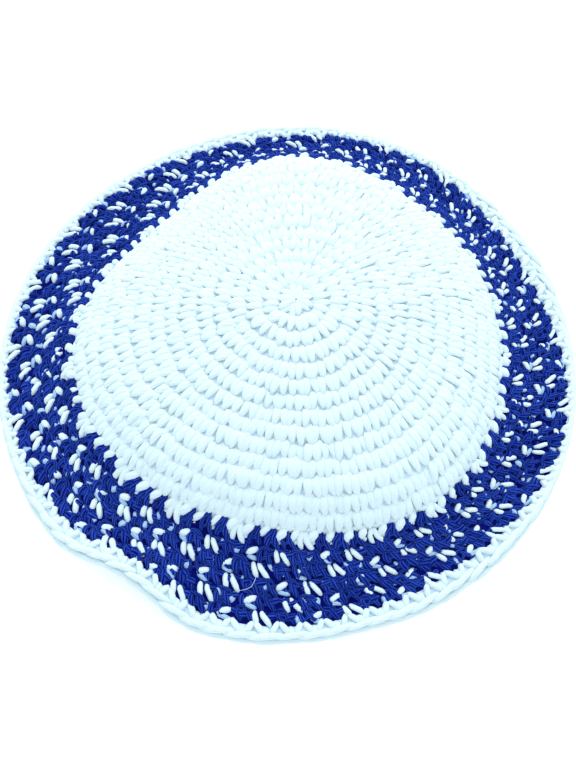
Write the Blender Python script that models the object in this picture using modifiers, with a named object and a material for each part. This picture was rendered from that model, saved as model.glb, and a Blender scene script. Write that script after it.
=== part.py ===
# Crocheted skullcap: a white crown, a blue patterned band and a white edging, lying on its rim.
# The wearer's front is +Y, up is +Z and the origin is on the surface that the cap lies on.
# Azimuth is measured from -Y towards +X, so 0 degrees is the side nearest the viewer.

import math

import bmesh
import bpy
import numpy as np
from mathutils import Vector

# Sizes in metres, angles in degrees
ROUND_HEIGHT = 0.0045  # one round of stitches in the crown, measured along the cloth
BAND_SQUEEZE = 0.74  # the band's rounds are lower than the crown's by this factor
WALL = 0.003  # thickness of the crocheted cloth
SEAM_GAP = 0.0003  # clearance between neighbouring pieces
SEGMENTS = 84  # flat facets around the cap

CROWN_ROUNDS = 14.35
BAND_END = 21.1
RIM_END = 22.2
LIP_FACETS = 6  # facets of the rim's half round

# How steeply the outer face falls away: rounds from the middle of the crown, slope in degrees
SLOPES = (
    (0.0, 0.0),
    (4.0, 10.0),
    (8.0, 15.0),
    (11.0, 17.0),
    (14.0, 44.0),
    (15.5, 29.0),
    (17.0, 26.0),
    (18.5, 15.0),
    (20.0, 0.0),
    (22.2, 0.0),
)

# How far three hoops of the soft cap stand out from true circles, in rounds of height: the number
# of waves around the cap, then a cosine and a sine part for the crown's, the band's and the rim's hoop
HOOPS = (CROWN_ROUNDS, BAND_END, RIM_END)
WAVE_START = 4.0  # rounds from the middle where the crown's waves begin
WAVES = (
    (1, -0.01, 0.13, 0.12, -0.22, 0.16, -0.12),
    (2, 0.16, -0.22, 0.05, -0.14, 0.19, -0.27),
    (3, -0.51, 0.35, -0.15, 0.13, -0.05, 0.03),
    (4, 0.15, 0.12, 0.10, -0.23, 0.01, -0.04),
    (5, -0.14, -0.06, 0.14, 0.03, -0.06, -0.03),
)

# Local buckles of the rim: azimuth and half width in degrees, the round that each starts from,
# how far it is pushed towards the middle and how far it is lifted off the surface
BUCKLES = (
    (328.5, 17.0, 16.0, 0.0046, 0.0034),
    (12.0, 11.0, 18.5, 0.0004, 0.0009),
)

PROFILE_STEP = 0.05  # rounds between the points of the profile
NORMAL_STEP = 0.05  # rounds to either side of a point, for its normal
NORMAL_TURN = 0.01  # radians to either side of a point, for its normal
profile_rounds = np.arange(0.0, RIM_END + PROFILE_STEP / 2, PROFILE_STEP)


def profile():
    """Radius and height of the outer face at each of profile_rounds, with the rim one wall up."""
    table = np.array(SLOPES)
    slope = np.radians(np.interp(profile_rounds, table[:, 0], table[:, 1]))
    step = np.where(profile_rounds[1:] > CROWN_ROUNDS, BAND_SQUEEZE, 1.0) * PROFILE_STEP * ROUND_HEIGHT
    middle = (slope[1:] + slope[:-1]) / 2
    radius = np.concatenate([[0.0], np.cumsum(np.cos(middle) * step)])
    fall = np.concatenate([[0.0], np.cumsum(np.sin(middle) * step)])
    return radius, WALL + fall[-1] - fall


profile_radius, profile_height = profile()


def hoop_wave(hoop, azimuth):
    """Stand-out of one hoop at an azimuth in radians, in metres."""
    total = 0.0
    for row in WAVES:
        cosine, sine = row[1 + 2 * hoop], row[2 + 2 * hoop]
        total += cosine * math.cos(row[0] * azimuth) + sine * math.sin(row[0] * azimuth)
    return total * ROUND_HEIGHT


def share(value, start, end):
    return min(max((value - start) / (end - start), 0.0), 1.0)


def ease(value, start, end):
    """The share with no kink at either end."""
    part = share(value, start, end)
    return part * part * (3 - 2 * part)


def buckle(rounds, azimuth):
    """Inward push and lift of the soft rim, in metres."""
    push, lift = 0.0, 0.0
    for centre, half_width, start, push_in, lift_up in BUCKLES:
        turn = (math.degrees(azimuth) - centre + 180.0) % 360.0 - 180.0
        if abs(turn) < half_width:
            amount = 0.5 + 0.5 * math.cos(math.pi * turn / half_width)
            amount *= ease(rounds, start, RIM_END)
            push += push_in * amount
            lift += lift_up * amount
    return push, lift


def cap_point(rounds, azimuth):
    """A point of the cap's outer face."""
    radius = float(np.interp(rounds, profile_rounds, profile_radius))
    height = float(np.interp(rounds, profile_rounds, profile_height))
    to_crown = ease(rounds, WAVE_START, HOOPS[0])
    to_band = ease(rounds, HOOPS[0], HOOPS[1])
    to_rim = ease(rounds, HOOPS[1], HOOPS[2])
    radius += to_crown * (1 - to_band) * hoop_wave(0, azimuth)
    radius += to_band * (1 - to_rim) * hoop_wave(1, azimuth)
    radius += to_rim * hoop_wave(2, azimuth)
    push, lift = buckle(rounds, azimuth)
    radius -= push
    return radius * math.sin(azimuth), -radius * math.cos(azimuth), height + lift


def material(name, colour, roughness):
    made = bpy.data.materials.new(name)
    made.use_nodes = True
    shader = made.node_tree.nodes["Principled BSDF"]
    shader.inputs["Base Color"].default_value = (*colour, 1.0)
    shader.inputs["Roughness"].default_value = roughness
    shader.inputs["Metallic"].default_value = 0.0
    shader.inputs["Sheen Weight"].default_value = 0.3
    return made


def outline_centre():
    """Middle of the box around the rim, which goes to the origin."""
    turns = [2 * math.pi * i / SEGMENTS for i in range(SEGMENTS)]
    corners = np.array([cap_point(RIM_END, turn) for turn in turns])
    low, high = corners.min(axis=0), corners.max(axis=0)
    return Vector(((low[0] + high[0]) / 2, (low[1] + high[1]) / 2, 0.0))


def outer_normal(rounds, azimuth):
    """Unit normal of the outer face, straight up at the middle of the crown."""
    if rounds < NORMAL_STEP:
        return Vector((0.0, 0.0, 1.0))
    ahead = min(rounds + NORMAL_STEP, RIM_END)
    along = Vector(cap_point(ahead, azimuth)) - Vector(cap_point(rounds - NORMAL_STEP, azimuth))
    right = Vector(cap_point(rounds, azimuth + NORMAL_TURN))
    left = Vector(cap_point(rounds, azimuth - NORMAL_TURN))
    return along.cross(right - left).normalized()


def turned_disc(name, outline):
    """A flat disc or washer: an outline of (rounds, depth) turned about the axis with a Screw."""
    points = [(rounds * ROUND_HEIGHT, 0.0, -depth) for rounds, depth in outline]
    edges = [(i, i + 1) for i in range(len(points) - 1)]
    if outline[0][0] > 0.0:
        edges.append((len(points) - 1, 0))
    drawn = bpy.data.meshes.new(name + "_outline")
    drawn.from_pydata(points, edges, [])
    turned = bpy.data.objects.new(name + "_outline", drawn)
    bpy.context.scene.collection.objects.link(turned)
    screw = turned.modifiers.new("turn", "SCREW")
    screw.axis = "Z"
    screw.steps = screw.render_steps = SEGMENTS
    screw.use_merge_vertices = True
    screw.merge_threshold = 0.0001
    bpy.context.view_layer.update()
    graph = bpy.context.evaluated_depsgraph_get()
    disc = bpy.data.meshes.new_from_object(turned.evaluated_get(graph))
    disc.name = name
    bpy.data.objects.remove(turned)
    bpy.data.meshes.remove(drawn)
    return disc


def bend_to_cap(disc):
    """Takes each point of the flat disc to its round, azimuth and depth in the soft cap."""
    work = bmesh.new()
    work.from_mesh(disc)
    bmesh.ops.remove_doubles(work, verts=work.verts, dist=0.00005)
    for vertex in work.verts:
        x, y, z = vertex.co
        rounds, azimuth = math.hypot(x, y) / ROUND_HEIGHT, math.atan2(x, -y)
        outer = Vector(cap_point(rounds, azimuth)) - centre
        vertex.co = outer + outer_normal(rounds, azimuth) * z
    bmesh.ops.recalc_face_normals(work, faces=work.faces)
    work.to_mesh(disc)
    work.free()


def spread(start, end, count):
    return [start + (end - start) * i / count for i in range(count + 1)]


def square_ends(start, end, rings):
    """Outline of a stretch of cloth cut square at both ends."""
    outer = spread(start, end, rings)
    return [(t, 0.0) for t in outer] + [(t, WALL) for t in reversed(outer)]


def round_end(start, end, rings):
    """Outline of a stretch of cloth whose far end is a half round, like the last chain of loops."""
    round_height = ROUND_HEIGHT * BAND_SQUEEZE
    straight = spread(start, end - WALL / 2 / round_height, rings)
    arc = []
    for i in range(1, LIP_FACETS):
        turn = math.pi * i / LIP_FACETS
        reach = WALL / 2 * math.sin(turn) / round_height
        arc.append((straight[-1] + reach, WALL / 2 * (1 - math.cos(turn))))
    return [(t, 0.0) for t in straight] + arc + [(t, WALL) for t in reversed(straight)]


def cloth_piece(name, outline, colour):
    disc = turned_disc(name, outline)
    bend_to_cap(disc)
    disc.materials.append(material(name + "_yarn", colour, 0.85))
    piece = bpy.data.objects.new(name, disc)
    cap.objects.link(piece)
    disc.shade_smooth()
    disc.set_sharp_from_angle(angle=math.radians(50))
    return piece


for old in list(bpy.data.objects):
    bpy.data.objects.remove(old)

cap = bpy.data.collections.new("crocheted_skullcap")
bpy.context.scene.collection.children.link(cap)

centre = outline_centre()
seam = SEAM_GAP / (ROUND_HEIGHT * BAND_SQUEEZE)
white = (0.80, 0.90, 0.95)
blue = (0.01, 0.02, 0.30)

cloth_piece("crown", square_ends(0.0, CROWN_ROUNDS, 13), white)
cloth_piece("band", square_ends(CROWN_ROUNDS + seam, BAND_END, 8), blue)
cloth_piece("edging", round_end(BAND_END + seam, RIM_END, 2), white)
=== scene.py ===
import math

import bpy
import numpy as np
from mathutils import Matrix, Vector


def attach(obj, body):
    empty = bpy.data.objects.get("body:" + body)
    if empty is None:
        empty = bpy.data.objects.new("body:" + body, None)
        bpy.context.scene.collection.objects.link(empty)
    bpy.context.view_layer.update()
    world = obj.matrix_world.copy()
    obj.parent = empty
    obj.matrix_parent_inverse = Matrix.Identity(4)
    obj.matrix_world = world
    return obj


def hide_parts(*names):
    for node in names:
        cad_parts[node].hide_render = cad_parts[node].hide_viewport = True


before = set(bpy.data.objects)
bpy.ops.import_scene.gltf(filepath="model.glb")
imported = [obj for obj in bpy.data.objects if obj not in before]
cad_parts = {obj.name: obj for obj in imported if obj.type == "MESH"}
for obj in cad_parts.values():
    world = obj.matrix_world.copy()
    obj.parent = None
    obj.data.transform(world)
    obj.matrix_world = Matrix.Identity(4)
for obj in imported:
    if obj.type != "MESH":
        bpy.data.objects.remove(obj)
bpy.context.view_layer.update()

# Crocheted skullcap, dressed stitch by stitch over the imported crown, band and edging.
# A place on the cloth is given by rounds (counted out from the middle of the crown),
# azimuth (from the side nearest the viewer, towards the viewer's right) and lift (up from
# the cloth's outer face).

random = np.random.default_rng(1807)

# the cap's shape, with the same sizes as the part's

capShape = {
    "roundHeight": 0.0045,  # metres, one crown round along the cloth
    "bandSqueeze": 0.74,  # band rounds are lower than the crown's
    "wall": 0.003,
    "facets": 84,  # around the part's rim
    "crownRounds": 14.35,
    "bandEnd": 21.1,
    "rimEnd": 22.2,
    "waveStart": 4.0,
    # rounds from the middle, slope of the outer face in degrees
    "slopes": (
        (0, 0), (4, 10), (8, 15), (11, 17), (14, 44),
        (15.5, 29), (17, 26), (18.5, 15), (20, 0), (23, 0),
    ),
    # waves around the cap, then cosine and sine parts for crown, band and rim hoops, in rounds of height
    "waves": (
        (1, -0.01, 0.13, 0.12, -0.22, 0.16, -0.12),
        (2, 0.16, -0.22, 0.05, -0.14, 0.19, -0.27),
        (3, -0.51, 0.35, -0.15, 0.13, -0.05, 0.03),
        (4, 0.15, 0.12, 0.10, -0.23, 0.01, -0.04),
        (5, -0.14, -0.06, 0.14, 0.03, -0.06, -0.03),
    ),
    # azimuth and half width in degrees, first round, push in and lift in metres
    "buckles": ((328.5, 17, 16, 0.0046, 0.0034), (12, 11, 18.5, 0.0004, 0.0009)),
    "profileStep": 0.05,  # rounds between the points of the profile
    "normalStart": 0.15,  # rounds from the middle where the first normal is worked out
    "normalReach": (0.1, 0.01),  # rounds and radians to either side of a point, for its normal
}

slopeTable = np.array(capShape["slopes"], float)
profileRounds = np.arange(0, slopeTable[-1, 0], capShape["profileStep"])
profileSlope = np.radians(np.interp(profileRounds, slopeTable[:, 0], slopeTable[:, 1]))
profileStride = np.where(profileRounds[1:] > capShape["crownRounds"], capShape["bandSqueeze"], 1.0)
profileStride = profileStride * capShape["profileStep"] * capShape["roundHeight"]
middleSlope = (profileSlope[1:] + profileSlope[:-1]) / 2
profileRadius = np.concatenate([[0], np.cumsum(np.cos(middleSlope) * profileStride)])
profileFall = np.concatenate([[0], np.cumsum(np.sin(middleSlope) * profileStride)])
profileHeight = capShape["wall"] + profileFall[-1] - profileFall


def ease(value, start, end):
    part = np.clip((value - start) / (end - start), 0, 1)
    return part * part * (3 - 2 * part)


def degreesApart(azimuth, middle):
    return (np.degrees(azimuth) - middle + 180) % 360 - 180


def hoopWave(hoop, azimuth):
    total = 0
    for row in capShape["waves"]:
        waves, cosine, sine = row[0], row[1 + 2 * hoop], row[2 + 2 * hoop]
        total = total + cosine * np.cos(waves * azimuth) + sine * np.sin(waves * azimuth)
    return total * capShape["roundHeight"]


def faceOfCap(rounds, azimuth):
    radius = np.interp(rounds, profileRounds, profileRadius)
    height = np.interp(rounds, profileRounds, profileHeight)
    toCrown = ease(rounds, capShape["waveStart"], capShape["crownRounds"])
    toBand = ease(rounds, capShape["crownRounds"], capShape["bandEnd"])
    toRim = ease(rounds, capShape["bandEnd"], capShape["rimEnd"])
    radius = radius + toCrown * (1 - toBand) * hoopWave(0, azimuth)
    radius = radius + toBand * (1 - toRim) * hoopWave(1, azimuth) + toRim * hoopWave(2, azimuth)
    for centre, halfWidth, start, pushIn, liftUp in capShape["buckles"]:
        turn = degreesApart(azimuth, centre)
        amount = np.where(np.abs(turn) < halfWidth, 0.5 + 0.5 * np.cos(np.pi * turn / halfWidth), 0)
        amount = amount * ease(rounds, start, capShape["rimEnd"])
        radius = radius - pushIn * amount
        height = height + liftUp * amount
    return np.stack([radius * np.sin(azimuth), -radius * np.cos(azimuth), height], axis=-1)


rimTurns = np.arange(capShape["facets"]) * 2 * np.pi / capShape["facets"]
rimCorners = faceOfCap(np.full(len(rimTurns), capShape["rimEnd"]), rimTurns)
capCentre = (rimCorners.min(axis=0) + rimCorners.max(axis=0)) / 2 * np.array([1, 1, 0])


def unit(vectors):
    return vectors / np.maximum(np.linalg.norm(vectors, axis=-1, keepdims=True), 1e-9)


def normalOfCap(rounds, azimuth):
    reach, turn = capShape["normalReach"]
    rounds = np.maximum(rounds, capShape["normalStart"])
    along = faceOfCap(rounds + reach, azimuth) - faceOfCap(rounds - reach, azimuth)
    around = faceOfCap(rounds, azimuth + turn) - faceOfCap(rounds, azimuth - turn)
    return unit(np.cross(along, around))


def onCloth(rounds, azimuth, lift):
    raised = normalOfCap(rounds, azimuth) * np.asarray(lift)[..., None]
    return faceOfCap(rounds, azimuth) - capCentre + raised


# small helpers


def deselectAll():
    bpy.ops.object.select_all(action="DESELECT")


def startMesh(made, name):
    made.name = name
    made.data.name = name
    bpy.ops.object.mode_set(mode="EDIT")
    bpy.ops.mesh.select_all(action="DESELECT")
    bpy.ops.object.mode_set(mode="OBJECT")
    return made


def selectVertices(made, wanted):
    for face in made.data.polygons:
        face.select = False
    for edge in made.data.edges:
        edge.select = False
    for vertex in made.data.vertices:
        vertex.select = bool(wanted(vertex.co))


def finishPiece(piece, slotName, *nodes):
    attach(piece, "root")
    if nodes:
        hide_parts(*nodes)


# short lengths of yarn, each modelled once

closeBy = 0.01  # two cuts of a modelled yarn are never this near

yarnModel = {
    "sides": 8,
    "cuts": 5,  # rings between the two ends
    "taper": (0.50, 0.86, 1.0, 1.0, 1.0, 0.86, 0.50),  # ring sizes from end to end
}
# for the wrong side, which lies against the head
plainModel = {"sides": 6, "cuts": 3, "taper": (0.60, 1.0, 1.0, 1.0, 0.60)}


def modelYarn(name, sides, cuts, taper):
    deselectAll()
    bpy.ops.mesh.primitive_cylinder_add(vertices=sides, radius=0.5, depth=1, end_fill_type="NGON",
                                        rotation=(0, math.pi / 2, 0))
    yarn = startMesh(bpy.context.object, name)
    bpy.ops.object.transform_apply(location=False, rotation=True, scale=False)
    bpy.ops.object.mode_set(mode="EDIT")
    bpy.ops.mesh.select_mode(type="EDGE")
    bpy.ops.object.mode_set(mode="OBJECT")
    for edge in yarn.data.edges:
        start, end = [yarn.data.vertices[i].co.x for i in edge.vertices]
        edge.select = abs(start - end) > closeBy
    bpy.ops.object.mode_set(mode="EDIT")
    bpy.ops.mesh.subdivide(number_cuts=cuts)
    bpy.ops.mesh.select_mode(type="VERT")
    bpy.ops.object.mode_set(mode="OBJECT")
    for ring, size in enumerate(taper):
        place = -0.5 + ring / (cuts + 1)
        selectVertices(yarn, lambda co: abs(co.x - place) < closeBy)
        bpy.ops.object.mode_set(mode="EDIT")
        bpy.ops.transform.resize(value=(1, size, size))
        bpy.ops.object.mode_set(mode="OBJECT")
    return yarn


def readYarn(yarn, cuts):
    points = np.array([v.co for v in yarn.data.vertices])
    faces = [list(f.vertices) for f in yarn.data.polygons]
    ring = np.rint((points[:, 0] + 0.5) * (cuts + 1)).astype(int)
    angle = np.arctan2(points[:, 1], points[:, 2])
    around = []
    for face in yarn.data.polygons:
        facing = math.atan2(face.center.y, face.center.z)
        for index in face.vertices:
            around.append((facing + (angle[index] - facing + np.pi) % (2 * np.pi) - np.pi) / (2 * np.pi))
    bpy.data.objects.remove(yarn)
    return {"across": points[:, 1], "up": points[:, 2], "ring": ring, "faces": faces,
            "around": np.array(around), "rings": cuts + 2}


shortYarn = readYarn(modelYarn("short_yarn", **yarnModel), yarnModel["cuts"])
plainYarn = readYarn(modelYarn("plain_yarn", **plainModel), plainModel["cuts"])
print("lengths of yarn modelled,", len(shortYarn["faces"]), "and", len(plainYarn["faces"]), "faces")


def smoothLine(knots, count):
    knots = np.array(knots, float)
    place = np.linspace(0, len(knots) - 1, count)
    first = np.minimum(place.astype(int), len(knots) - 2)
    part = (place - first)[:, None]
    before = knots[np.maximum(first - 1, 0)]
    start, end = knots[first], knots[first + 1]
    after = knots[np.minimum(first + 2, len(knots) - 1)]
    return 0.5 * (2 * start + (end - before) * part
                  + (2 * before - 5 * start + 4 * end - after) * part ** 2
                  + (3 * start - before - 3 * end + after) * part ** 3)


yarnLay = {
    "innermost": 0.05,  # rounds, no yarn comes nearer to the middle of the crown
    "reachEnd": 0.3,  # rounds outward in a stitch, up to which its reach moves it
    "tiltMiddle": 0.65,  # rounds outward in a stitch, where a tilt leaves its depth alone
    "startSpread": 40,  # mm of yarn, so that no two lengths show the same fibres
}


# Each line lists (across in stitches, outward in rounds, depth in mm, thickness in mm)
# and is laid at every stitch. The thickest that the yarn may be is roomShare of a stitch's width.
def layYarn(line, stitches, roomShare=0.6, flatness=0.9, model=shortYarn):
    lineAcross, lineOutward, lineDepth, lineThickness = smoothLine(line, model["rings"]).T[:, None, :]
    count = len(stitches["azimuth"])
    moved, lean, slid, sunk, swollen = stitches["wobble"].T[:, :, None]
    across = lineAcross + moved + lean * lineOutward
    outward = lineOutward + slid
    outward = outward + stitches["reach"][:, None] * np.clip(yarnLay["reachEnd"] - lineOutward, 0, 1)
    azimuth = stitches["azimuth"][:, None] + across * stitches["turn"][:, None]
    rounds = np.maximum(stitches["rounds"][:, None] + outward, yarnLay["innermost"])
    room = stitches["turn"][:, None] * np.interp(rounds, profileRounds, profileRadius)
    thickness = np.minimum(lineThickness * (1 + swollen) / 1000, room * roomShare)
    shrink = thickness / (lineThickness / 1000)
    tilted = lineDepth + stitches["tilt"][:, None] * (yarnLay["tiltMiddle"] - lineOutward)
    depth = (tilted + sunk) / 1000 * np.minimum(shrink, 1)
    # never below the cloth's inner face
    depth = np.minimum(depth, capShape["wall"] - thickness * flatness / 2)
    centre = onCloth(rounds, azimuth, -depth)
    normal = normalOfCap(rounds, azimuth)
    tangent = unit(np.gradient(centre, axis=1))
    side = unit(np.cross(normal, tangent))
    rise = np.cross(tangent, side)
    ring = model["ring"]
    points = centre[:, ring] + side[:, ring] * (model["across"] * thickness[:, ring])[..., None]
    points = points + rise[:, ring] * (model["up"] * thickness[:, ring] * flatness)[..., None]
    stride = np.linalg.norm(np.diff(centre, axis=1), axis=-1)
    length = np.concatenate([np.zeros((count, 1)), np.cumsum(stride, axis=1)], axis=1) * 1000
    length = length + random.uniform(0, yarnLay["startSpread"], (count, 1))
    return {"points": points, "length": length[:, ring], "tone": np.repeat(stitches["tone"], len(ring))}


def joinYarns(name, yarns, finish, model=shortYarn):
    faceSizes = np.array([len(f) for f in model["faces"]])
    corners = np.concatenate([np.array(f) for f in model["faces"]])
    points = np.concatenate([y["points"].reshape(-1, 3) for y in yarns])
    copies = sum(len(y["points"]) for y in yarns)
    perYarn = len(model["ring"])
    mesh = bpy.data.meshes.new(name)
    mesh.vertices.add(len(points))
    mesh.vertices.foreach_set("co", points.astype(np.float32).ravel())
    allCorners = (corners[None, :] + np.arange(copies)[:, None] * perYarn).ravel()
    mesh.loops.add(len(allCorners))
    mesh.loops.foreach_set("vertex_index", allCorners.astype(np.int32))
    allSizes = np.tile(faceSizes, copies)
    mesh.polygons.add(len(allSizes))
    mesh.polygons.foreach_set("loop_start", (np.cumsum(allSizes) - allSizes).astype(np.int32))
    mesh.update(calc_edges=True)
    mesh.shade_smooth()
    lengths = np.concatenate([y["length"].ravel() for y in yarns])
    coords = np.stack([lengths[allCorners], np.tile(model["around"], copies)], axis=-1)
    mesh.uv_layers.new(name="alongYarn").data.foreach_set("uv", coords.astype(np.float32).ravel())
    tone = mesh.attributes.new("tone", "FLOAT", "POINT")
    tone.data.foreach_set("value", np.concatenate([y["tone"] for y in yarns]).astype(np.float32))
    mesh.materials.append(finish)
    piece = bpy.data.objects.new(name, mesh)
    bpy.context.scene.collection.objects.link(piece)
    return piece


# how far single stitches stray: across, lean, outward, depth in mm, size
strayUsual = np.array([0.035, 0.05, 0.03, 0.10, 0.05])
strayMost = 2  # times as far as usual


def stitchPlaces(azimuth, rounds, turn, unevenness):
    count = len(azimuth)
    stray = random.normal(0, 1, (count, len(strayUsual))).clip(-strayMost, strayMost)
    return {
        "azimuth": np.asarray(azimuth, float),
        "rounds": np.asarray(rounds, float),
        "turn": np.asarray(turn, float),  # radians around the cap for one stitch
        "wobble": stray * (strayUsual * unevenness),
        "tone": random.uniform(0, 1, count),
        "reach": np.zeros(count),  # rounds by which the stitch's foot lies further out or in
        "tilt": np.zeros(count),  # mm by which it rises over one round outward
    }


def chosen(stitches, wanted):
    return {key: value[wanted] for key, value in stitches.items()}


# materials

# colours from the grooves between plies to the tops of the plies; the darker grooves are painted shade
# and the lighter ply tops painted highlight, moved further by random fibre and stitch tone
whiteYarnLook = {
    "tones": (
        (0.1, (0.77, 0.89, 0.94, 1)),
        (0.5, (0.80, 0.915, 0.95, 1)),
        (0.9, (0.825, 0.925, 0.955, 1)),
    ),
    "sheenTint": (1, 1, 1, 1),
    "roughness": 0.8,
    "sheen": 0.05,
    "specular": 0.2,
    "ior": 1.45,
    "bump": 0.28,
    "plies": 6,
    "plyPitch": 3.0,  # mm along the yarn from one ply to the next
}
blueYarnLook = {
    "tones": (
        (0.25, (0.0001, 0.001, 0.07, 1)),
        (0.6, (0.0008, 0.005, 0.20, 1)),
        (0.95, (0.03, 0.075, 0.48, 1)),
    ),
    "sheenTint": (0.12, 0.30, 1, 1),
    "roughness": 0.75,
    "sheen": 0.45,
    "specular": 0.02,
    "ior": 1.12,
    "bump": 0.7,
    "plies": 6,
    "plyPitch": 2.3,
}
# white yarn carried inside the band, seen only in deep gaps; its tones are the white yarn darkened and
# blued as painted shade
carriedPaintedShadeLook = {
    **whiteYarnLook,
    "tones": (
        (0.1, (0.30, 0.47, 0.78, 1)),
        (0.6, (0.42, 0.61, 0.88, 1)),
        (0.95, (0.50, 0.69, 0.92, 1)),
    ),
    "sheen": 0,
    "bump": 0.5,
}
# what all three yarns share
plyLook = {
    "fibresAlong": 2.0,  # fibre noise along and across one ply
    "fibresAcross": 9.0,
    "fibreDetail": 3.0,
    "fibreHeight": 0.5,  # beside a ply's height of 1
    "bumpDistance": 0.0003,
    # the ply's share paints shade into the grooves and highlight onto the ply tops
    "plyShadeAndHighlight": 0.7,  # how far ply, fibre and stitch each move a colour up its tones
    "fibreTone": 0.3,
    "stitchTone": 0.15,
    "sheenRoughness": 0.5,
}
# the cloth's middle, in the shade between the stitches; its colours are painted shade, darker and bluer
# than the yarns
clothShadeLook = {
    "whiteShade": (0.72, 0.85, 1.0, 1),
    "blueShade": (0.0004, 0.0025, 0.14, 1),
    "darker": 0.92,  # the darker spots' share of the colour
    "mottleScale": 900,
    "roughness": 0.9,
    "specular": 0.1,
}


def mathNode(tree, kind, first, second=None):
    node = tree.nodes.new("ShaderNodeMath")
    node.operation = kind
    for socket, value in zip(node.inputs, (first, second)):
        if isinstance(value, (int, float)):
            socket.default_value = value
        elif value is not None:
            tree.links.new(value, socket)
    return node.outputs[0]


def startMaterial(name):
    made = bpy.data.materials.new(name)
    made.use_nodes = True
    return made, made.node_tree.nodes["Principled BSDF"]


def yarnMaterial(name, look):
    made, shader = startMaterial(name)
    tree = made.node_tree
    uv = tree.nodes.new("ShaderNodeUVMap")
    uv.uv_map = "alongYarn"
    split = tree.nodes.new("ShaderNodeSeparateXYZ")
    tree.links.new(uv.outputs[0], split.inputs[0])
    along = mathNode(tree, "DIVIDE", split.outputs[0], look["plyPitch"])
    around = mathNode(tree, "MULTIPLY", split.outputs[1], look["plies"])
    twist = mathNode(tree, "ADD", around, along)
    ridge = mathNode(tree, "ABSOLUTE", mathNode(tree, "SINE", mathNode(tree, "MULTIPLY", twist, math.pi)))
    # fibres run along each ply
    place = tree.nodes.new("ShaderNodeCombineXYZ")
    tree.links.new(mathNode(tree, "MULTIPLY", along, plyLook["fibresAlong"]), place.inputs[0])
    tree.links.new(mathNode(tree, "MULTIPLY", twist, plyLook["fibresAcross"]), place.inputs[1])
    fibre = tree.nodes.new("ShaderNodeTexNoise")
    fibre.inputs["Scale"].default_value = 1.0
    fibre.inputs["Detail"].default_value = plyLook["fibreDetail"]
    tree.links.new(place.outputs[0], fibre.inputs["Vector"])
    fibreHeight = mathNode(tree, "MULTIPLY", fibre.outputs[0], plyLook["fibreHeight"])
    height = mathNode(tree, "ADD", ridge, fibreHeight)
    bump = tree.nodes.new("ShaderNodeBump")
    bump.inputs["Strength"].default_value = look["bump"]
    bump.inputs["Distance"].default_value = plyLook["bumpDistance"]
    tree.links.new(height, bump.inputs["Height"])
    tree.links.new(bump.outputs[0], shader.inputs["Normal"])
    tone = tree.nodes.new("ShaderNodeAttribute")
    tone.attribute_name = "tone"
    # ply grooves made darker as painted shade, ply tops lighter as painted highlight
    shade = mathNode(tree, "MULTIPLY", ridge, plyLook["plyShadeAndHighlight"])
    fibreTone = mathNode(tree, "MULTIPLY", fibre.outputs[0], plyLook["fibreTone"])
    shade = mathNode(tree, "ADD", shade, fibreTone)
    stitchTone = mathNode(tree, "MULTIPLY", tone.outputs["Fac"], plyLook["stitchTone"])
    shade = mathNode(tree, "ADD", shade, stitchTone)
    ramp = tree.nodes.new("ShaderNodeValToRGB")
    stops = ramp.color_ramp.elements
    stops.new(0.5)
    for stop, (place, colour) in zip(stops, look["tones"]):
        stop.position = place
        stop.color = colour
    tree.links.new(shade, ramp.inputs[0])
    tree.links.new(ramp.outputs[0], shader.inputs["Base Color"])
    shader.inputs["Roughness"].default_value = look["roughness"]
    shader.inputs["Sheen Weight"].default_value = look["sheen"]
    shader.inputs["Sheen Roughness"].default_value = plyLook["sheenRoughness"]
    shader.inputs["Sheen Tint"].default_value = look["sheenTint"]
    shader.inputs["Specular IOR Level"].default_value = look["specular"]
    shader.inputs["IOR"].default_value = look["ior"]
    return made


def shadeMaterial(name, colour):
    made, shader = startMaterial(name)
    tree = made.node_tree
    where = tree.nodes.new("ShaderNodeTexCoord")
    mottle = tree.nodes.new("ShaderNodeTexNoise")
    mottle.inputs["Scale"].default_value = clothShadeLook["mottleScale"]
    tree.links.new(where.outputs["Object"], mottle.inputs["Vector"])
    ramp = tree.nodes.new("ShaderNodeValToRGB")
    ramp.color_ramp.elements[0].color = [c * clothShadeLook["darker"] for c in colour[:3]] + [1]
    ramp.color_ramp.elements[1].color = colour
    tree.links.new(mottle.outputs[0], ramp.inputs[0])
    tree.links.new(ramp.outputs[0], shader.inputs["Base Color"])
    shader.inputs["Roughness"].default_value = clothShadeLook["roughness"]
    shader.inputs["Specular IOR Level"].default_value = clothShadeLook["specular"]
    return made


whiteCotton = yarnMaterial("white_cotton", whiteYarnLook)
whiteShade = shadeMaterial("white_shade", clothShadeLook["whiteShade"])
blueShade = shadeMaterial("blue_shade", clothShadeLook["blueShade"])
blueCotton = yarnMaterial("blue_cotton", blueYarnLook)
carriedPaintedShadeCotton = yarnMaterial("white_cotton_painted_shade", carriedPaintedShadeLook)
print("materials made")


def wrongSide(name, stitch, places, finish, slotName, node):
    yarns = [layYarn(stitch[line], places, model=plainYarn)
             for line in ("innerBar", "innerLeft", "innerRight")]
    finishPiece(joinYarns(name, yarns, finish, plainYarn), slotName, node)


# crown: rounds of plain stitches

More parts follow.
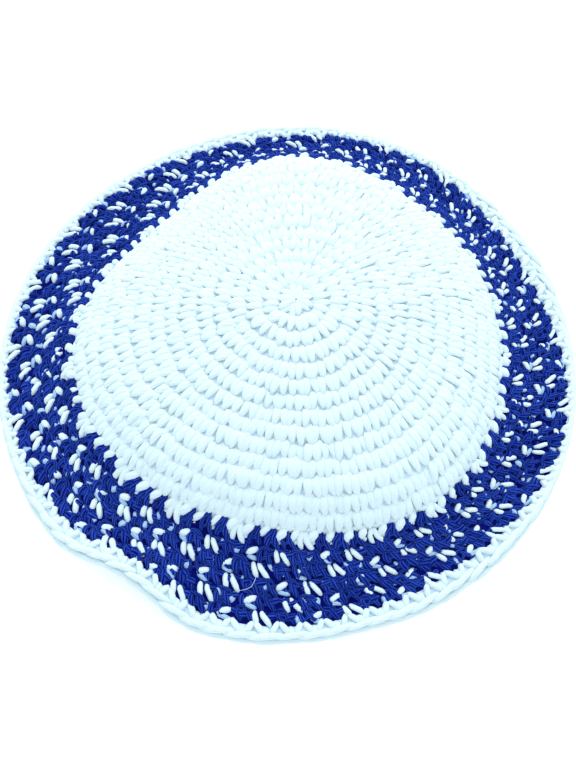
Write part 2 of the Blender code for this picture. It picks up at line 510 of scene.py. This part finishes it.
crownStitch = {
    "increase": 6.5,  # stitches added in each round
    "most": 88,
    "rounds": 14,
    "innerRounds": 9,  # these and the outer ones are two pieces
    "roundTops": (9, 1.085),  # past this round, rounds are taller by this factor
    "startSpread": 0.08,  # stitches, how unevenly the rounds start
    "unevenness": 2,
    "wobble": (0.3, 1.2, 1, 0.8, 0.7),  # factors on the usual straying, for legs side by side
    "leftLeg": ((-0.13, -0.10, 1.75, 1.9), (-0.19, 0.14, 0.80, 2.5), (-0.23, 0.46, 0.46, 2.6),
                (-0.29, 0.86, 0.56, 2.3), (-0.36, 1.24, 1.05, 1.7)),
    "rightLeg": ((0.15, -0.10, 1.75, 1.9), (0.21, 0.14, 0.80, 2.5), (0.25, 0.46, 0.50, 2.6),
                 (0.30, 0.86, 0.60, 2.2), (0.36, 1.20, 1.10, 1.7)),
    "between": ((0.5, -0.32, 1.5, 1.6), (0.5, -0.02, 0.92, 2.2), (0.5, 0.42, 1.02, 2.2),
                (0.5, 0.92, 1.5, 1.5)),
    "within": ((0.0, 0.10, 1.6, 1.6), (0.0, 0.42, 1.05, 2.1), (0.0, 0.70, 1.15, 2.0),
               (0.0, 1.0, 1.6, 1.5)),
    "room": ((0, 5, 9), (1.05, 0.82, 0.64)),  # rounds, thickest a leg may be there, in stitch widths
    "tilt": ((6, 11), (0.65, 0.15)),  # rounds, mm by which a stitch rises over one round there
    "flatness": 0.40,
    "innerBar": ((-0.45, 0.80, 2.1, 1.4), (-0.2, 0.76, 2.35, 1.5), (0.2, 0.76, 2.35, 1.5),
                 (0.45, 0.80, 2.1, 1.4)),
    "innerLeft": ((-0.10, 0.0, 1.9, 1.3), (-0.16, 0.3, 2.25, 1.4), (-0.22, 0.62, 2.0, 1.3)),
    "innerRight": ((0.10, 0.0, 1.9, 1.3), (0.16, 0.3, 2.25, 1.4), (0.22, 0.62, 2.0, 1.3)),
}

azimuths, rounds, turns = [], [], []
tallPast, taller = crownStitch["roundTops"]
for number in range(crownStitch["rounds"]):
    inRound = min(round(crownStitch["increase"] * (number + 1)), crownStitch["most"])
    turn = 2 * math.pi / inRound
    start = ((number + 1) % 2) * turn / 2 + random.normal(0, crownStitch["startSpread"]) * turn
    azimuths += [start + turn * i for i in range(inRound)]
    rounds += [number + max(0, number - tallPast) * (taller - 1)] * inRound
    turns += [turn] * inRound
crownPlaces = stitchPlaces(azimuths, rounds, turns, crownStitch["unevenness"])
crownPlaces["wobble"] *= crownStitch["wobble"]
crownPlaces["tilt"] = np.interp(crownPlaces["rounds"], *crownStitch["tilt"])
innerPart = crownPlaces["rounds"] < crownStitch["innerRounds"]
for name, wanted in (("crown_inner", innerPart), ("crown_outer", ~innerPart)):
    places = chosen(crownPlaces, wanted)
    roomShare = np.interp(places["rounds"], *crownStitch["room"])[:, None]
    yarns = [layYarn(crownStitch[line], places, roomShare, crownStitch["flatness"])
             for line in ("leftLeg", "rightLeg", "between", "within")]
    finishPiece(joinYarns(name + "_rounds", yarns, whiteCotton), "white_yarn", "crown")
    wrongSide(name + "_wrong_side", crownStitch, places, whiteCotton, "white_yarn", "crown")
print("crown:", len(azimuths), "stitches")

# band: rows of blue stitches, one in four white

bandStitch = {
    "inRow": 88,
    "rows": 6,
    "repeat": 4,  # stitches from one white one to the next
    "unevenness": 1.0,
    "blueUnevenness": 2.5,  # times as uneven as the white stitches
    "firstRow": 15.29,  # round of the first row's middle
    "phases": (2.8, -2.4, -7.0, 3.8, -0.3, -5.2),  # degrees, a white stitch of each row
    "leftLeg": ((-0.36, -0.44, 2.1, 1.2), (-0.46, -0.16, 0.95, 1.4), (-0.38, 0.16, 0.70, 1.5),
                (-0.24, 0.44, 0.9, 1.4), (-0.18, 0.66, 2.1, 1.1)),
    "rightLeg": ((-0.14, -0.46, 2.1, 1.2), (-0.13, -0.18, 0.85, 1.4), (0.09, 0.16, 0.62, 1.5),
                 (0.30, 0.48, 0.9, 1.4), (0.40, 0.68, 2.1, 1.1)),
    "footStrand": ((-0.60, -0.26, 1.7, 0.8), (-0.42, -0.42, 0.90, 1.0), (-0.10, -0.44, 0.80, 1.1),
                   (0.14, -0.28, 1.00, 1.0), (0.22, -0.10, 1.7, 0.8)),
    "crossStrand": ((-0.28, 0.40, 1.7, 0.8), (-0.12, 0.26, 0.66, 1.0), (0.08, 0.02, 0.52, 1.05),
                    (0.30, -0.10, 0.80, 1.0), (0.44, 0.00, 1.7, 0.8)),
    "frontLoop": ((0.90, 1.20, 2.1, 1.2), (0.98, 1.11, 1.1, 1.6), (1.10, 1.02, 0.85, 1.7),
                  (1.24, 0.92, 1.0, 1.6), (1.34, 0.83, 2.0, 1.2)),
    "topBar": ((0.30, 0.74, 1.9, 1.2), (0.55, 0.81, 1.25, 1.4), (0.85, 0.81, 1.25, 1.4),
               (1.10, 0.74, 1.9, 1.2)),
    "leftWhite": ((-0.44, -0.37, 1.8, 1.1), (-0.42, -0.08, 0.75, 1.3), (-0.35, 0.20, 0.62, 1.35),
                  (-0.26, 0.48, 0.67, 1.3), (-0.18, 0.73, 1.8, 1.0)),
    "rightWhite": ((-0.14, -0.38, 1.8, 1.1), (-0.09, -0.10, 0.75, 1.3), (0.09, 0.20, 0.58, 1.35),
                   (0.29, 0.52, 0.67, 1.3), (0.43, 0.78, 1.8, 1.0)),
    # azimuth and half width in degrees, how much thicker the white yarn lies there
    "looseSide": (300, 55, 0.28),
    "dot": ((0.74, 1.30, 1.9, 1.2), (0.85, 1.17, 0.75, 1.45), (1.03, 1.03, 0.55, 1.55),
            (1.20, 0.91, 0.75, 1.45), (1.31, 0.82, 1.9, 1.2)),
    "backLoop": ((0.76, 1.36, 2.0, 0.9), (0.94, 1.42, 0.78, 1.1), (1.24, 1.50, 0.78, 1.1),
                 (1.44, 1.56, 2.0, 0.9)),
    "carried": ((0.22, 0.82, 2.0, 1.2), (0.19, 1.02, 1.0, 1.6), (0.16, 1.24, 1.0, 1.6),
                (0.14, 1.46, 2.0, 1.2)),
    "slack": ((0.36, -0.40, 1.9, 0.8), (0.44, -0.20, 0.90, 0.9), (0.56, 0.0, 0.90, 0.9),
              (0.70, 0.18, 1.9, 0.8)),
    "innerBar": ((-0.45, 0.35, 2.1, 1.2), (-0.15, 0.30, 2.35, 1.3), (0.2, 0.30, 2.35, 1.3),
                 (0.5, 0.34, 2.1, 1.2)),
    "innerLeft": ((-0.10, -0.45, 1.9, 1.0), (-0.16, -0.2, 2.25, 1.15), (-0.2, 0.1, 2.0, 1.0)),
    "innerRight": ((0.10, -0.45, 1.9, 1.0), (0.16, -0.2, 2.25, 1.15), (0.2, 0.1, 2.0, 1.0)),
}
# first row: its legs draw together into teeth between the crown's last loops
toothLines = {
    "leftLeg": ((-0.15, -0.68, 1.3, 1.4), (-0.19, -0.46, 0.75, 1.5), (-0.33, -0.08, 0.7, 1.5),
                (-0.29, 0.42, 0.9, 1.4), (-0.18, 0.74, 2.1, 1.0)),
    "rightLeg": ((0.03, -0.68, 1.3, 1.4), (0.02, -0.44, 0.75, 1.5), (0.07, 0.02, 0.65, 1.5),
                 (0.32, 0.52, 0.8, 1.4), (0.46, 0.78, 2.1, 1.0)),
}
# where teeth lie further out or in: azimuth and half width in degrees, rounds
toothReach = ((312, 30, -0.35), (85, 13, 0.4), (255, 18, 0.25))
# the crown's last loops, at the places of the band's first row
crownTops = {
    "rimLoop": ((-0.12, -0.82, 1.7, 1.6), (0.2, -0.84, 1.5, 1.9), (0.7, -0.84, 1.5, 1.9),
                (1.02, -0.82, 1.7, 1.6)),
    "frontLoop": ((0.22, 0.16, 2.0, 1.4), (0.32, -0.08, 1.0, 2.0), (0.46, -0.34, 0.7, 2.3),
                  (0.62, -0.58, 0.8, 2.2), (0.72, -0.84, 1.6, 1.8)),
    "backLoop": ((0.25, 0.38, 2.0, 1.0), (0.38, 0.22, 1.5, 1.3), (0.52, 0.12, 1.5, 1.3),
                 (0.66, 0.0, 2.0, 1.0)),
}

turn = 2 * math.pi / bandStitch["inRow"]
azimuths, rounds, whiteOnes, rowNumbers = [], [], [], []
for row in range(bandStitch["rows"]):
    for i in range(bandStitch["inRow"]):
        azimuths.append(math.radians(bandStitch["phases"][row]) + turn * i)
        rounds.append(bandStitch["firstRow"] + row)
        whiteOnes.append(i % bandStitch["repeat"] == 0)
        rowNumbers.append(row)
bandPlaces = stitchPlaces(azimuths, rounds, [turn] * len(azimuths), bandStitch["unevenness"])
whiteOnes, rowNumbers = np.array(whiteOnes), np.array(rowNumbers)
bandPlaces["wobble"][~whiteOnes] *= bandStitch["blueUnevenness"]
looseMiddle, looseWidth, looser = bandStitch["looseSide"]
apart = degreesApart(bandPlaces["azimuth"], looseMiddle)
looseness = looser * np.exp(-(apart / looseWidth) ** 2)
bandPlaces["wobble"][whiteOnes, -1] += looseness[whiteOnes]  # the last part is the size
for middle, width, reach in toothReach:
    apart = degreesApart(bandPlaces["azimuth"], middle)
    bandPlaces["reach"] += np.where(rowNumbers == 0, reach * np.exp(-(apart / width) ** 2), 0)


def bandYarns(wanted, legs, loops):
    firstRow = chosen(bandPlaces, wanted & (rowNumbers == 0))
    laterRows = chosen(bandPlaces, wanted & (rowNumbers > 0))
    allButLast = chosen(bandPlaces, wanted & (rowNumbers < bandStitch["rows"] - 1))
    yarns = [layYarn(toothLines[line], firstRow) for line in ("leftLeg", "rightLeg")]
    yarns += [layYarn(bandStitch[line], laterRows) for line in legs]
    yarns += [layYarn(bandStitch[line], allButLast) for line in loops]
    return yarns


yarns = bandYarns(~whiteOnes, ("leftLeg", "rightLeg"), ("frontLoop", "topBar"))
finishPiece(joinYarns("band_blue_stitches", yarns, blueCotton), "blue_yarn", "band")
bluePlaces = chosen(bandPlaces, ~whiteOnes)
yarns = [layYarn(bandStitch[line], bluePlaces) for line in ("footStrand", "crossStrand")]
finishPiece(joinYarns("band_blue_strands", yarns, blueCotton), "blue_yarn", "band")
yarns = bandYarns(whiteOnes, ("leftWhite", "rightWhite"), ("dot",))
finishPiece(joinYarns("band_white_stitches", yarns, whiteCotton), "white_yarn", "band")
# back loops, carried yarn and slack are white yarn coloured in painted shade
places = chosen(bandPlaces, whiteOnes & (rowNumbers < bandStitch["rows"] - 1))
yarns = [layYarn(bandStitch[line], places) for line in ("backLoop", "carried", "slack")]
finishPiece(joinYarns("band_carried_yarn", yarns, carriedPaintedShadeCotton), "white_yarn", "band")
whitePlaces = chosen(bandPlaces, whiteOnes)
wrongSide("band_blue_wrong_side", bandStitch, bluePlaces, blueCotton, "blue_yarn", "band")
wrongSide("band_white_wrong_side", bandStitch, whitePlaces, whiteCotton, "white_yarn", "band")

places = chosen(bandPlaces, rowNumbers == 0)
yarns = [layYarn(line, places) for line in crownTops.values()]
finishPiece(joinYarns("crown_top_loops", yarns, whiteCotton), "white_yarn", "crown")
print("band:", len(azimuths), "stitches")

# edging: one white round and its chain of loops

edgingStitch = {
    "phase": -5.95665,  # degrees, a little to the left of the band's last row
    "middle": 21.29,  # round of the stitches' middle
    "unevenness": 1.0,
    "leftLeg": ((-0.26, -0.72, 2.0, 1.2), (-0.31, -0.45, 0.9, 1.6), (-0.38, -0.15, 0.7, 1.75),
                (-0.44, 0.12, 0.85, 1.8), (-0.47, 0.34, 1.5, 1.5)),
    "rightLeg": ((-0.18, -0.72, 2.0, 1.2), (-0.12, -0.45, 0.9, 1.6), (0.02, -0.18, 0.7, 1.75),
                 (0.16, 0.10, 0.85, 1.8), (0.24, 0.34, 1.5, 1.5)),
    "upperLoop": ((-0.42, 0.58, 1.4, 1.3), (-0.04, 0.53, 0.72, 1.7), (0.40, 0.43, 0.63, 1.8),
                  (0.86, 0.33, 0.8, 1.7), (1.24, 0.25, 1.5, 1.2)),
    "lowerLoop": ((-0.42, 0.70, 2.5, 1.2), (-0.02, 0.73, 2.2, 1.55), (0.42, 0.73, 2.15, 1.65),
                  (0.88, 0.70, 2.2, 1.55), (1.28, 0.65, 2.5, 1.2)),
    "between": ((0.26, -0.34, 1.9, 1.2), (0.32, -0.06, 1.15, 1.7), (0.36, 0.20, 1.15, 1.8),
                (0.40, 0.42, 1.9, 1.4)),
    "chainFlatness": 0.65,
}

azimuths = [math.radians(edgingStitch["phase"]) + turn * i for i in range(bandStitch["inRow"])]
rounds = [edgingStitch["middle"]] * len(azimuths)
edgingPlaces = stitchPlaces(azimuths, rounds, [turn] * len(azimuths), edgingStitch["unevenness"])
yarns = [layYarn(edgingStitch[line], edgingPlaces) for line in ("leftLeg", "rightLeg", "between")]
finishPiece(joinYarns("edging_stitches", yarns, whiteCotton), "white_yarn", "edging")
yarns = [layYarn(edgingStitch[line], edgingPlaces, flatness=edgingStitch["chainFlatness"])
         for line in ("upperLoop", "lowerLoop")]
finishPiece(joinYarns("edging_chain", yarns, whiteCotton), "white_yarn", "edging")
print("edging:", len(azimuths), "stitches")

# one loose fibre lies over the band near the viewer

strayFibre = {
    "azimuth": -9.5,  # degrees
    "rounds": 18.3,
    "line": ((-0.61, 0.72, 0.2, 0.08), (-0.10, 0.50, -0.3, 0.12), (0.24, 0.22, -0.5, 0.12),
             (0.38, -0.35, -0.4, 0.12), (0.36, -0.72, 0.3, 0.08)),
}
fibrePlace = stitchPlaces([math.radians(strayFibre["azimuth"])], [strayFibre["rounds"]], [turn], 0)
yarns = [layYarn(strayFibre["line"], fibrePlace)]
finishPiece(joinYarns("stray_fibre", yarns, whiteCotton), "white_yarn", "band")
print("loose fibre laid")

# the cloth's middle, seen only in the gaps: sheets coloured in painted shade

clothMiddle = {
    "depth": 1.05,  # mm below the cloth's outer face
    "thickness": 0.75,  # mm
    "columns": 84,
    "step": 0.5,  # rounds
    "innermost": 0.01,  # rounds, the first ring before it is drawn together
    "pastCrown": 0.45,  # rounds from the crown's edge out to the blue
    "insideBand": 0.1,  # rounds from the blue's end to the band's edge
    "insideRim": 0.5,
}


def clothRing(name, start, end, finish):
    rings = max(2, int(round((end - start) / clothMiddle["step"])))
    spread = np.linspace(start, end, rings + 1)
    spread[0] = max(start, clothMiddle["innermost"])
    deselectAll()
    bpy.ops.mesh.primitive_circle_add(vertices=clothMiddle["columns"], radius=spread[0],
                                      fill_type="NOTHING")
    piece = startMesh(bpy.context.object, name)
    bpy.ops.object.mode_set(mode="EDIT")
    bpy.ops.mesh.select_all(action="SELECT")
    for inner, outer in zip(spread[:-1], spread[1:]):
        bpy.ops.mesh.extrude_region_move()
        bpy.ops.transform.resize(value=(outer / inner, outer / inner, 1))
    bpy.ops.mesh.select_all(action="SELECT")
    bpy.ops.mesh.remove_doubles(threshold=0.0001)
    if start == 0:
        bpy.ops.mesh.select_all(action="DESELECT")
        bpy.ops.object.mode_set(mode="OBJECT")
        selectVertices(piece, lambda co: co.length < clothMiddle["step"] / 2)
        bpy.ops.object.mode_set(mode="EDIT")
        bpy.ops.mesh.merge(type="CENTER")
        bpy.ops.mesh.select_all(action="SELECT")
    bpy.ops.mesh.normals_make_consistent(inside=False)
    bpy.ops.object.mode_set(mode="OBJECT")
    # the flat rings are bent to the cap
    flat = np.array([v.co for v in piece.data.vertices])
    rounds = np.hypot(flat[:, 0], flat[:, 1])
    azimuth = np.arctan2(flat[:, 0], -flat[:, 1])
    placed = onCloth(rounds, azimuth, np.full(len(rounds), -clothMiddle["depth"] / 1000))
    piece.data.vertices.foreach_set("co", placed.astype(np.float32).ravel())
    piece.data.update()
    wall = piece.modifiers.new("wall", "SOLIDIFY")
    wall.thickness = clothMiddle["thickness"] / 1000
    wall.offset = -1
    bpy.context.view_layer.objects.active = piece
    bpy.ops.object.modifier_apply(modifier="wall")
    piece.data.shade_smooth()
    coords = piece.data.uv_layers.new(name="alongYarn")
    corner = np.empty(len(piece.data.loops), np.int32)
    piece.data.loops.foreach_get("vertex_index", corner)
    points = np.array([v.co for v in piece.data.vertices])[corner]
    coords.data.foreach_set("uv", (points[:, :2] * 1000).astype(np.float32).ravel())
    piece.data.materials.append(finish)
    return piece


blueStart = capShape["crownRounds"] + clothMiddle["pastCrown"]
blueEnd = capShape["bandEnd"] - clothMiddle["insideBand"]
rimEdge = capShape["rimEnd"] - clothMiddle["insideRim"]
finishPiece(clothRing("crown_middle", 0, blueStart, whiteShade), "white_yarn", "crown")
finishPiece(clothRing("band_middle", blueStart, blueEnd, blueShade), "blue_yarn", "band")
finishPiece(clothRing("edging_middle", blueEnd, rimEdge, whiteShade), "white_yarn", "edging")
print("middle of the cloth made")

# floor, light and camera

studio = {
    "floorSize": 4.0,
    "floorColour": (0.97, 0.97, 0.97, 1),
    "floorRoughness": 0.9,
    "tableGlow": 0.28,  # lit from below like a light table
    "glowColour": (1, 1, 1, 1),
    "skyColour": (0.815, 0.94, 1.0, 1),
    "skyStrength": 1.01,
    "keyPower": 7.2,  # watts
    "keyColour": (0.88, 0.97, 1.0),
    "keySize": 0.8,  # metres
    "keyPlace": (0.05, 0.85, 0.70),
}

deselectAll()
bpy.ops.mesh.primitive_plane_add(size=studio["floorSize"], location=(0, 0, 0))
floor = bpy.context.object
floor.name = "floor"
paper, paperShader = startMaterial("floor_paper")
paperShader.inputs["Base Color"].default_value = studio["floorColour"]
paperShader.inputs["Roughness"].default_value = studio["floorRoughness"]
paperShader.inputs["Emission Color"].default_value = studio["glowColour"]
paperShader.inputs["Emission Strength"].default_value = studio["tableGlow"]
floor.data.materials.append(paper)

sky = bpy.data.worlds.new("studio")
sky.use_nodes = True
skyLight = sky.node_tree.nodes["Background"]
skyLight.inputs["Color"].default_value = studio["skyColour"]
skyLight.inputs["Strength"].default_value = studio["skyStrength"]
bpy.context.scene.world = sky

key = bpy.data.lights.new("key", "AREA")
key.energy = studio["keyPower"]
key.size = studio["keySize"]
key.color = studio["keyColour"]
keyLamp = bpy.data.objects.new("key", key)
keyLamp.location = studio["keyPlace"]
keyLamp.rotation_euler = (-Vector(studio["keyPlace"])).to_track_quat("-Z", "Y").to_euler()
bpy.context.scene.collection.objects.link(keyLamp)

bpy.context.scene.view_settings.view_transform = "Standard"
print("floor and light set up")

photoView = {
    "width": 576,  # the photo's size in pixels
    "height": 768,
    "focalPixels": 900,  # focal length
    "sensorWidth": 36,  # mm
    "clipStart": 0.01,
    "distance": 54.48,  # rounds from the camera to the top of the crown
    "pitch": 62.63,  # degrees below the horizon
    "roll": 1.65,
    "apexPixel": (298.6, 299.6),  # where the top of the crown shows
    "pixelShift": (-2.5, -0.5),  # puts the whole outline over the photo's
}

pitch, roll = math.radians(photoView["pitch"]), math.radians(photoView["roll"])
up = Vector((-math.sin(roll) * math.cos(pitch), math.sin(pitch), math.cos(roll) * math.cos(pitch)))
forward = Vector((math.sin(roll) * math.sin(pitch), math.cos(pitch), -math.cos(roll) * math.sin(pitch)))
right = forward.cross(up).normalized()
up = right.cross(forward).normalized()
forward.normalize()
apex = Vector(onCloth(0.0, 0.0, 0.0))
rightPixels = photoView["apexPixel"][0] - photoView["width"] / 2 + photoView["pixelShift"][0]
upPixels = -(photoView["apexPixel"][1] - photoView["height"] / 2 + photoView["pixelShift"][1])
distance = photoView["distance"] * capShape["roundHeight"]
eye = apex - forward * distance
eye -= right * (rightPixels / photoView["focalPixels"] * distance)
eye -= up * (upPixels / photoView["focalPixels"] * distance)

lens = bpy.data.cameras.new("camera")
lens.sensor_width = photoView["sensorWidth"]
lens.lens = photoView["focalPixels"] / photoView["height"] * photoView["sensorWidth"]
lens.clip_start = photoView["clipStart"]
camera = bpy.data.objects.new("camera", lens)
facing = [(right[i], up[i], -forward[i], eye[i]) for i in range(3)] + [(0, 0, 0, 1)]
camera.matrix_world = Matrix(facing)
bpy.context.scene.collection.objects.link(camera)
bpy.context.scene.camera = camera
